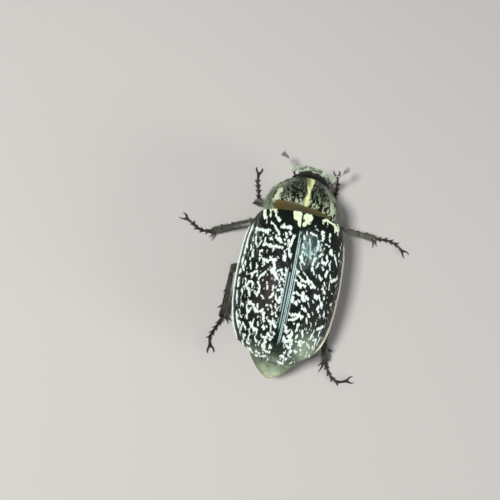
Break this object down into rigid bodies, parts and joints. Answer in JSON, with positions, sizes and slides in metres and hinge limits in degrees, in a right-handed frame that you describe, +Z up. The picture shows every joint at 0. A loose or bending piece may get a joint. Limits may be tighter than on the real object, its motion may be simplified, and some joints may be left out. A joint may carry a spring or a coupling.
{
  "type": "pine chafer beetle model",
  "caption": "Still life-size model of a pine chafer: a stout scarab beetle with marbled wing cases, short leaf-clubbed feelers and spined legs, standing.",
  "frame": {"origin": "on the floor under the middle of the whole beetle's box, legs and feelers included", "axes": "+Z up, +Y forward along the beetle's body, +X to the beetle's right"},
  "size_m": [0.0414, 0.039, 0.0146],
  "materials": {
    "elytron": "dark, shining, finely wrinkled wing case under white scale patches",
    "scaly": "dark plate under a close coat of grey-green and cream scales",
    "chitin": "dark brown body shell under pale hair",
    "leg": "shining dark reddish brown",
    "eye": "black, faceted, shining",
    "club": "dull brown leaves of the feeler's club"
  },
  "bodies": {
    "root": {"abdomen": "chitin", "antenna_club_left": "club", "antenna_club_right": "club", "antenna_left": "leg", "antenna_right": "leg", "coxa_fore_left": "chitin", "coxa_fore_right": "chitin", "coxa_hind_left": "chitin", "coxa_hind_right": "chitin", "coxa_middle_left": "chitin", "coxa_middle_right": "chitin", "elytron_left": "elytron", "elytron_right": "elytron", "eye_left": "eye", "eye_right": "eye", "femur_fore_left": "leg", "femur_fore_right": "leg", "femur_hind_left": "leg", "femur_hind_right": "leg", "femur_middle_left": "leg", "femur_middle_right": "leg", "head": "scaly", "palp_left": "leg", "palp_right": "leg", "pronotum": "scaly", "prosternum": "chitin", "pygidium": "scaly", "scutellum": "scaly", "tarsus_fore_left": "leg", "tarsus_fore_right": "leg", "tarsus_hind_left": "leg", "tarsus_hind_right": "leg", "tarsus_middle_left": "leg", "tarsus_middle_right": "leg", "thorax": "chitin", "tibia_fore_left": "leg", "tibia_fore_right": "leg", "tibia_hind_left": "leg", "tibia_hind_right": "leg", "tibia_middle_left": "leg", "tibia_middle_right": "leg"}
  },
  "joints": []
}
